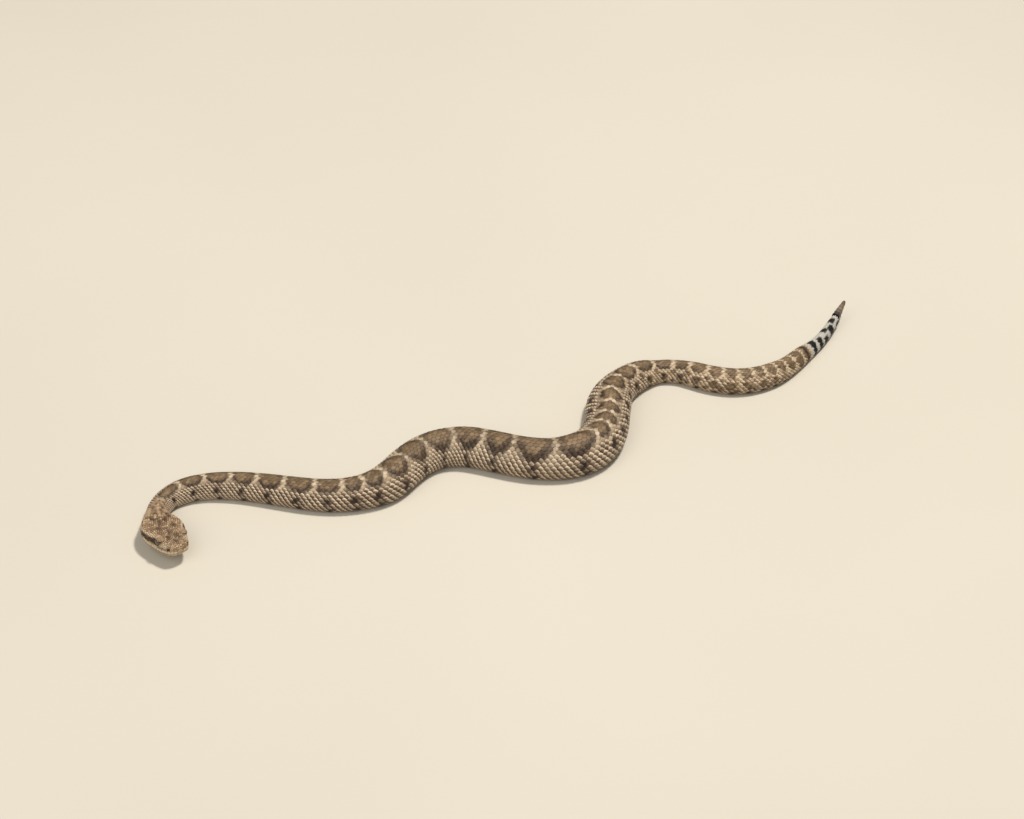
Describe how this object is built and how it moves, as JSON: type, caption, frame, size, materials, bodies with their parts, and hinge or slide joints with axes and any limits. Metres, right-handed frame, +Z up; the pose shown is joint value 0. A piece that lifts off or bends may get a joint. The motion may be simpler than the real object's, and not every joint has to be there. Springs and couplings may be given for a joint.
{
  "type": "western diamondback rattlesnake model",
  "caption": "Still life-size young western diamondback rattlesnake, lying in a loose S with its head low and its rattle just off the ground.",
  "frame": {"origin": "on the floor, under the middle of the animal's box", "axes": "+X from the head's end towards the rattle's end of the stretched S, +Y from the head's side towards the tail's side, +Z up"},
  "size_m": [0.3614, 0.2868, 0.0201],
  "materials": {
    "skin": "dry keeled scales, brown blotches with dark and pale edges",
    "tail_skin": "dry keeled scales in black and chalk-white rings",
    "eye": "clear wet cover over a bronze iris with an upright slit",
    "rattle": "dry translucent horn"
  },
  "bodies": {
    "root": {"head": "skin", "lower_jaw": "skin", "eye_left": "eye", "eye_right": "eye", "neck": "skin", "trunk_1": "skin", "trunk_2": "skin", "trunk_3": "skin", "trunk_4": "skin", "trunk_5": "skin", "trunk_6": "skin", "trunk_7": "skin", "tail": "tail_skin", "rattle_base": "rattle", "rattle_1": "rattle", "rattle_2": "rattle", "rattle_3": "rattle", "rattle_button": "rattle"}
  },
  "joints": []
}
